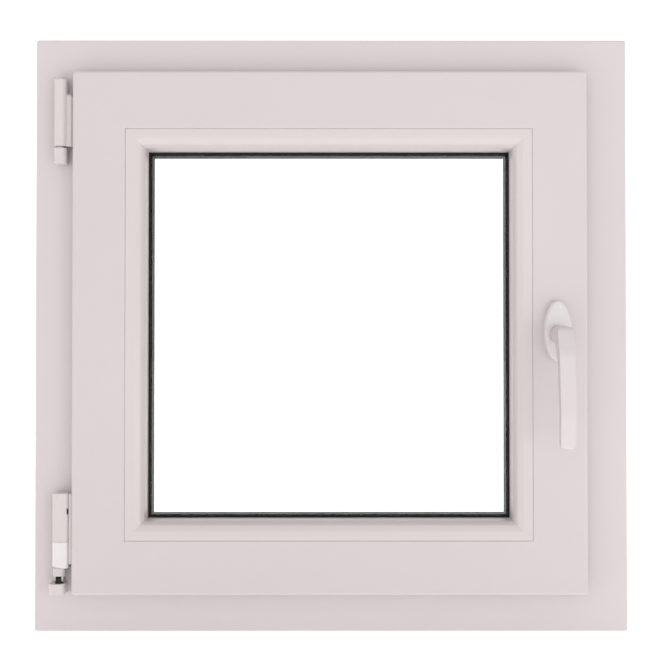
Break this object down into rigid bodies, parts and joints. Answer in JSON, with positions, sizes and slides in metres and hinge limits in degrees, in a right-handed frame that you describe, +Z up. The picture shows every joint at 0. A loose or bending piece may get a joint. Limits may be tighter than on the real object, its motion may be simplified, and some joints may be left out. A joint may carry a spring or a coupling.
{
  "type": "tilt and turn casement window",
  "caption": "Square white tilt-and-turn casement window with a fixed frame, a double-glazed sash, covered hinges on the left and a lever handle on the right.",
  "frame": {"origin": "middle of the bottom face of the frame's sill, at half the frame's depth", "axes": "+X to the right seen from the room (handle side), -Y towards the room, +Z up"},
  "size_m": [0.6, 0.1539, 0.6],
  "materials": {
    "pvc": "smooth semi-gloss white PVC-U",
    "pvc_bead": "smooth semi-gloss white PVC-U",
    "cover": "white moulded plastic",
    "black_plastic": "black moulded plastic",
    "grey_plastic": "grey moulded plastic",
    "white_paint": "white powder coat",
    "steel": "zinc plated steel",
    "galvanised": "galvanised steel",
    "zinc_cast": "die-cast zinc",
    "rubber": "black EPDM",
    "sealant": "black sealant",
    "aluminium": "dark anodised",
    "glass": "clear float glass"
  },
  "bodies": {
    "frame": {"frame_sill": "pvc", "frame_head": "pvc", "frame_jamb_left": "pvc", "frame_jamb_right": "pvc", "frame_reinforcement": "galvanised", "frame_gasket": "rubber", "drain_caps": "cover", "fixing_hole_caps": "cover", "keeps_hooked": "steel", "keep_low": "steel", "frame_screws": "steel", "stay_bearing": "steel", "stay_pin": "steel", "stay_bearing_cap": "cover", "corner_bearing": "steel", "corner_bearing_cap": "cover"},
    "pivot": {"corner_pivot": "steel"},
    "sash": {"sash_rail_low": "pvc", "sash_rail_top": "pvc", "sash_stile_left": "pvc", "sash_stile_right": "pvc", "sash_reinforcement": "galvanised", "sash_gasket": "rubber", "bead_low": "pvc_bead", "bead_left": "pvc_bead", "bead_top": "pvc_bead", "bead_right": "pvc_bead", "bead_gasket": "rubber", "glazing_gasket": "rubber", "glass_pane_room": "glass", "glass_pane_weather": "glass", "spacer_bar": "aluminium", "edge_seal": "sealant", "glazing_packers": "grey_plastic", "corner_hinge_band": "steel", "sash_screws": "steel", "corner_hinge_cover": "cover", "corner_hinge_cap": "cover", "gearbox_case": "zinc_cast", "faceplate_side": "steel", "faceplate_top": "steel", "faceplate_low": "steel", "corner_guides": "black_plastic", "corner_strips": "steel", "stay_guide": "black_plastic", "handle_base": "zinc_cast", "handle_screws": "steel", "handle_rosette": "cover"},
    "stay": {"stay_arm": "steel", "stay_arm_pin": "steel", "stay_arm_cap": "cover"},
    "handle": {"handle_lever": "white_paint", "handle_spindle": "steel", "gearbox_pinion": "zinc_cast"},
    "side_rod": {"drive_rod_side": "steel", "cam_side": "steel"},
    "top_rod": {"drive_rod_top": "steel", "cam_top": "steel"},
    "low_rod": {"drive_rod_low": "steel", "cam_low": "steel"}
  },
  "joints": [
    {"name": "sash_turn", "type": "hinge", "parent": "frame", "child": "pivot", "pos_m": [-0.2725, -0.046, 0.055], "axis": [0, 0, -1], "range_deg": [0, 90]},
    {"name": "sash_tilt", "type": "hinge", "parent": "pivot", "child": "sash", "pos_m": [-0.2725, -0.046, 0.055], "axis": [1, 0, 0], "range_deg": [0, 12]},
    {"name": "stay_swing", "type": "hinge", "parent": "pivot", "child": "stay", "pos_m": [-0.2725, -0.046, 0.525], "axis": [0, 0, -1], "range_deg": [0, 23.7]},
    {"name": "handle_turn", "type": "hinge", "parent": "sash", "child": "handle", "pos_m": [0.225, -0.055, 0.3], "axis": [0, 1, 0], "range_deg": [0, 180]},
    {"name": "side_rod_slide", "type": "slide", "parent": "sash", "child": "side_rod", "axis": [0, 0, -1], "range_m": [0, 0.0321]},
    {"name": "top_rod_slide", "type": "slide", "parent": "sash", "child": "top_rod", "axis": [1, 0, 0], "range_m": [0, 0.0321]},
    {"name": "low_rod_slide", "type": "slide", "parent": "sash", "child": "low_rod", "axis": [-1, 0, 0], "range_m": [0, 0.0321]}
  ],
  "couplings": [
    {"joint": "stay_swing", "follows": "sash_tilt", "ratio": 1.957},
    {"joint": "side_rod_slide", "follows": "handle_turn", "m_per_rad": 0.010186},
    {"joint": "top_rod_slide", "follows": "handle_turn", "m_per_rad": 0.010186},
    {"joint": "low_rod_slide", "follows": "handle_turn", "m_per_rad": 0.010186}
  ]
}
